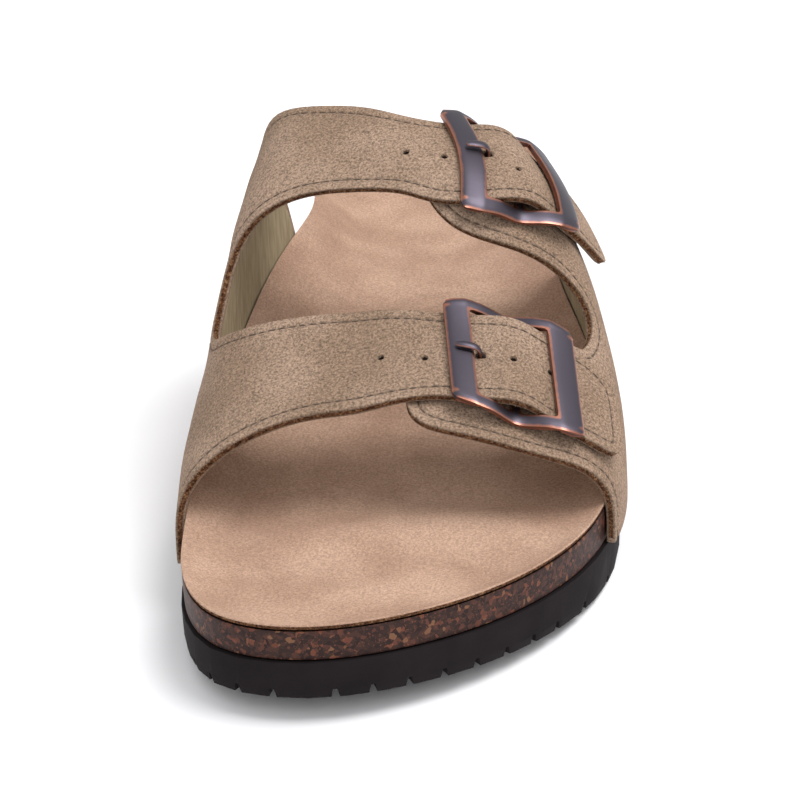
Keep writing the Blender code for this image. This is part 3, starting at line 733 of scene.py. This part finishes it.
class SANDAL_OT_insole(bpy.types.Operator):
    """Suede liner over the bed"""

    bl_idname = "sandal.insole"
    bl_label = "Suede liner"

    def execute(self, context):
        settings = context.scene.sandal_leather
        piece = start_piece("suede_insole", "suede_liner")
        piece.data.materials.append(suede_material("liner suede", settings.liner, settings.liner_dark, 0.28))
        piece.data.materials.append(cut_edge_material(settings))
        soften_edges(piece, 0.5 * MM, 50)
        round_faces(piece)
        # Faces that stand upright or turn down are the liner's cut edge and its underside.
        for face in piece.data.polygons:
            face.material_index = 1 if face.normal.z < 0.1 else 0
        finish_piece(piece, "suede_insole")
        return {"FINISHED"}


class SANDAL_OT_outsole(bpy.types.Operator):
    """Foam sole with its tread"""

    bl_idname = "sandal.outsole"
    bl_label = "Foam sole"

    def execute(self, context):
        piece = start_piece("outsole", "foam_sole")
        soften_edges(piece, 0.35 * MM, 30)
        piece.data.materials.append(foam_material(context.scene.sandal_sole))
        finish_piece(piece, "outsole", 30)
        return {"FINISHED"}


class SANDAL_OT_upper(bpy.types.Operator):
    """Suede upper in two pieces, with cut edges and lining"""

    bl_idname = "sandal.upper"
    bl_label = "Suede upper"

    def execute(self, context):
        settings = context.scene.sandal_leather
        # Dark at the cut edge, and painted shade at the stitched groove half way over the hem.
        hem = ((0.0, grey(0.5)), (0.1, grey(1.0)), (0.42, grey(1.0)), (0.5, grey(0.7)), (0.58, grey(1.0)))
        finishes = (
            suede_material("buffed suede", settings.suede, settings.suede_dark, 0.55, hem),
            cut_edge_material(settings),
            lining_material(settings),
            hole_shade_material(),
        )
        thread = thread_material(settings)
        loose = fibre_material()
        for side in ("medial", "lateral"):
            piece = start_piece("upper_" + side, side + "_upper")
            for finish in finishes:
                piece.data.materials.append(finish)
            mark_sheets(piece)
            soften_edges(piece, 0.55 * MM, 55, material=OUTER)
            round_faces(piece)
            hem_tree = spots_tree(spread_along(free_edges(piece), EDGE_STEP))
            holes = spots_tree(punched_spots(piece)) if side == "medial" else None
            # The groove and the punched holes need finer faces than the rest of the suede.
            refine(piece, hem_tree, 5.0 * MM, 4, 1.5 * MM * MM)
            if holes:
                refine(piece, holes, 3.5 * MM, 3)
                refine(piece, holes, 1.8 * MM, 4)
            press_surface(piece, hem_tree, holes, settings)
            finish_piece(piece, "upper_" + side, 60)
            lay_stitches(piece, settings, thread)
            fray_edges(piece, settings, loose)
        return {"FINISHED"}


class SANDAL_OT_buckles(bpy.types.Operator):
    """Buckle frames and prongs in antique copper"""

    bl_idname = "sandal.buckles"
    bl_label = "Buckles"

    def execute(self, context):
        finish = copper_material(context.scene.sandal_metal)
        for strap in STRAPS:
            for part, edge_distance in (("frame", 1.1 * MM), ("prong", 0.5 * MM)):
                node = "buckle_" + part + "_" + strap
                piece = start_piece(node, strap + "_buckle_" + part)
                if part == "frame":
                    soften_edges(piece, 0.45 * MM, 50)
                round_faces(piece)
                edge_wear(piece, node, edge_distance)
                piece.data.materials.append(finish)
                finish_piece(piece, node, 60)
        return {"FINISHED"}


def soft_lamp(name, place, size, power):
    """Soft round lamp that faces the sandal."""
    bpy.ops.object.light_add(type="AREA", location=tuple(place))
    made = bpy.context.object
    made.name = name
    made.data.shape = "DISK"
    made.data.size = size
    made.data.energy = power
    made.rotation_euler = (LIT_POINT - Vector(place)).to_track_quat("-Z", "Y").to_euler()


class SANDAL_OT_stage(bpy.types.Operator):
    """Camera, white floor and soft studio light"""

    bl_idname = "sandal.stage"
    bl_label = "Stage"

    def execute(self, context):
        settings = context.scene.sandal_stage
        heading, tilt, roll = settings.camera_turn
        camera = bpy.data.objects.new("camera", bpy.data.cameras.new("camera"))
        context.scene.collection.objects.link(camera)
        camera.data.lens = settings.camera_lens
        camera.data.shift_x, camera.data.shift_y = settings.camera_shift
        turn = (Matrix.Rotation(-heading, 4, "Z") @ Matrix.Rotation(math.pi / 2 - tilt, 4, "X")
                @ Matrix.Rotation(roll, 4, "Z"))
        camera.matrix_world = Matrix.Translation(settings.camera_place) @ turn
        context.scene.camera = camera
        bpy.ops.mesh.primitive_plane_add(size=12.0, location=(0, 0, 0))
        floor = context.object
        floor.name = "floor"
        floor.data.materials.append(floor_material(settings))
        soft_lamp("key_light", settings.key_place, 0.8, settings.key_power)
        soft_lamp("front_light", settings.fill_place, 1.0, settings.fill_power)
        world = bpy.data.worlds.new("studio")
        context.scene.world = world
        world.use_nodes = True
        background = world.node_tree.nodes["Background"]
        background.inputs["Color"].default_value = grey(1.0)
        background.inputs["Strength"].default_value = settings.surround
        context.scene.view_settings.view_transform = "Standard"
        return {"FINISHED"}


class SANDAL_PT_panel(bpy.types.Panel):
    """The sandal's pieces and settings"""

    bl_idname = "SANDAL_PT_panel"
    bl_label = "Cork footbed sandal"
    bl_space_type = "VIEW_3D"
    bl_region_type = "UI"
    bl_category = "Sandal"

    def draw(self, context):
        layout = self.layout
        for name, group in SETTINGS:
            box = layout.box()
            for key in group.__annotations__:
                box.prop(getattr(context.scene, name), key)
        for operator in OPERATORS:
            layout.operator(operator.bl_idname)


OPERATORS = (
    SANDAL_OT_outsole,
    SANDAL_OT_cork,
    SANDAL_OT_insole,
    SANDAL_OT_upper,
    SANDAL_OT_buckles,
    SANDAL_OT_stage,
)


def register():
    for name, group in SETTINGS:
        bpy.utils.register_class(group)
        setattr(bpy.types.Scene, name, PointerProperty(type=group))
    for operator in OPERATORS:
        bpy.utils.register_class(operator)
    bpy.utils.register_class(SANDAL_PT_panel)


def unregister():
    bpy.utils.unregister_class(SANDAL_PT_panel)
    for operator in reversed(OPERATORS):
        bpy.utils.unregister_class(operator)
    for name, group in reversed(SETTINGS):
        delattr(bpy.types.Scene, name)
        bpy.utils.unregister_class(group)


def main():
    register()
    for operator in OPERATORS:
        kind, name = operator.bl_idname.split(".")
        getattr(getattr(bpy.ops, kind), name)()
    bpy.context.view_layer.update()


if __name__ == "__main__":
    main()
